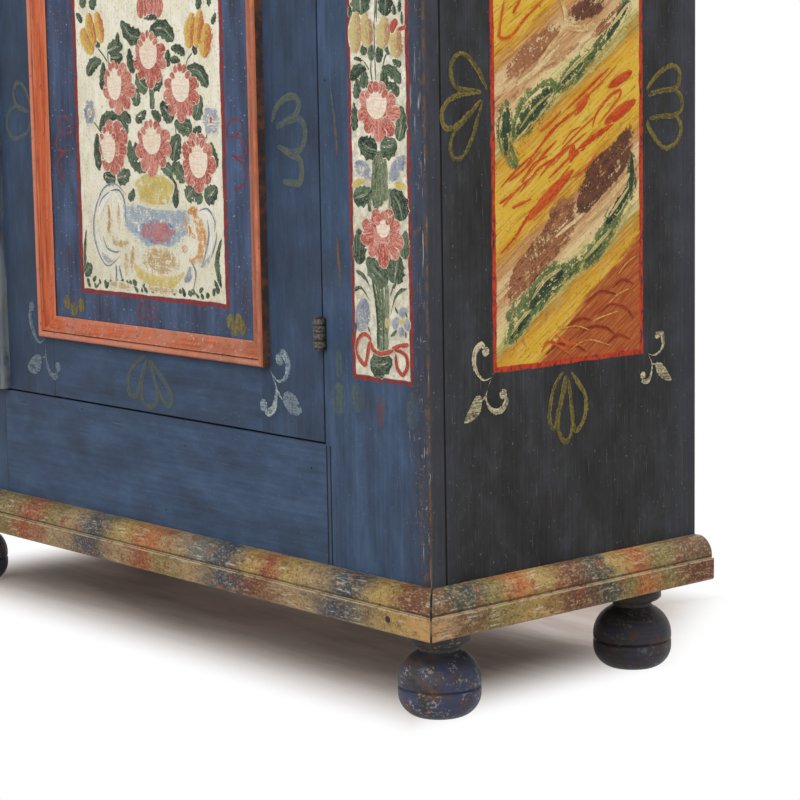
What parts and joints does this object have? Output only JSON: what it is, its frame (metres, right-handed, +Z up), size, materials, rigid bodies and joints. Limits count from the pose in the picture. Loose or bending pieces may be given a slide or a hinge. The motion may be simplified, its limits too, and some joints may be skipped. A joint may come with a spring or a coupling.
{
  "type": "cupboard",
  "caption": "Painted wooden cupboard with a panelled hinged door, lock and key, inner shelves, moulded base and cornice, on turned bun feet.",
  "frame": {"origin": "on the floor, at the middle of the cupboard's outline", "axes": "+X to the right seen from the front, +Y from the front to the back, +Z up"},
  "size_m": [1.26, 0.498, 1.93],
  "materials": {
    "orange_paint": "orange-red paint on softwood",
    "marbled_paint": "marbled paint on softwood",
    "foot_paint": "dark worn paint on turned hardwood",
    "blue_paint": "aged blue paint on softwood",
    "panel_paint": "blue paint with painted decoration",
    "dark_paint": "blue-black paint with painted decoration",
    "iron": "forged iron",
    "brass": "aged brass",
    "bare_wood": "bare aged softwood"
  },
  "bodies": {
    "case": {"back_board_1": "bare_wood", "back_board_2": "bare_wood", "back_board_3": "bare_wood", "back_board_4": "bare_wood", "back_board_5": "bare_wood", "base_moulding_front": "marbled_paint", "base_moulding_left": "marbled_paint", "base_moulding_right": "marbled_paint", "cornice_front": "marbled_paint", "cornice_left": "marbled_paint", "cornice_right": "marbled_paint", "floor_board": "bare_wood", "foot_blocks": "bare_wood", "foot_front_left": "foot_paint", "foot_front_right": "foot_paint", "foot_rear_left": "foot_paint", "foot_rear_right": "foot_paint", "front_rail_bottom": "blue_paint", "front_rail_top": "blue_paint", "front_stile_left": "blue_paint", "front_stile_right": "blue_paint", "hinge_case_leaf_lower": "iron", "hinge_case_leaf_upper": "iron", "hinge_pin_lower": "iron", "hinge_pin_upper": "iron", "shelf_1": "bare_wood", "shelf_2": "bare_wood", "shelf_3": "bare_wood", "shelf_cleats": "bare_wood", "side_board_left": "dark_paint", "side_board_right": "dark_paint", "strike_plate": "iron", "top_board": "bare_wood"},
    "door": {"cover_strip": "marbled_paint", "door_panel_lower": "panel_paint", "door_panel_upper": "panel_paint", "door_rail_bottom": "blue_paint", "door_rail_middle": "blue_paint", "door_rail_top": "blue_paint", "door_stile_hinge": "blue_paint", "door_stile_lock": "blue_paint", "hinge_door_leaf_lower": "iron", "hinge_door_leaf_upper": "iron", "keyhole_plate": "brass", "lock_case": "iron", "panel_moulding_lower_bottom": "orange_paint", "panel_moulding_lower_left": "orange_paint", "panel_moulding_lower_right": "orange_paint", "panel_moulding_lower_top": "orange_paint", "panel_moulding_upper_bottom": "orange_paint", "panel_moulding_upper_left": "orange_paint", "panel_moulding_upper_right": "orange_paint", "panel_moulding_upper_top": "orange_paint"},
    "bolt": {"lock_bolt": "iron"},
    "key": {"key": "iron"}
  },
  "joints": [
    {"name": "door_swing", "type": "hinge", "parent": "case", "child": "door", "pos_m": [0.38525, -0.196, 1.022], "axis": [0, 0, 1], "range_deg": [0, 170]},
    {"name": "key_turn", "type": "hinge", "parent": "door", "child": "key", "pos_m": [-0.264, -0.191, 1.008], "axis": [0, 1, 0], "range_deg": [0, 200]},
    {"name": "bolt_slide", "type": "slide", "parent": "door", "child": "bolt", "axis": [-1, 0, 0], "range_m": [0, 0.014]}
  ],
  "couplings": [
    {"joint": "key_turn", "follows": "bolt_slide", "rad_per_m": 224.4}
  ]
}
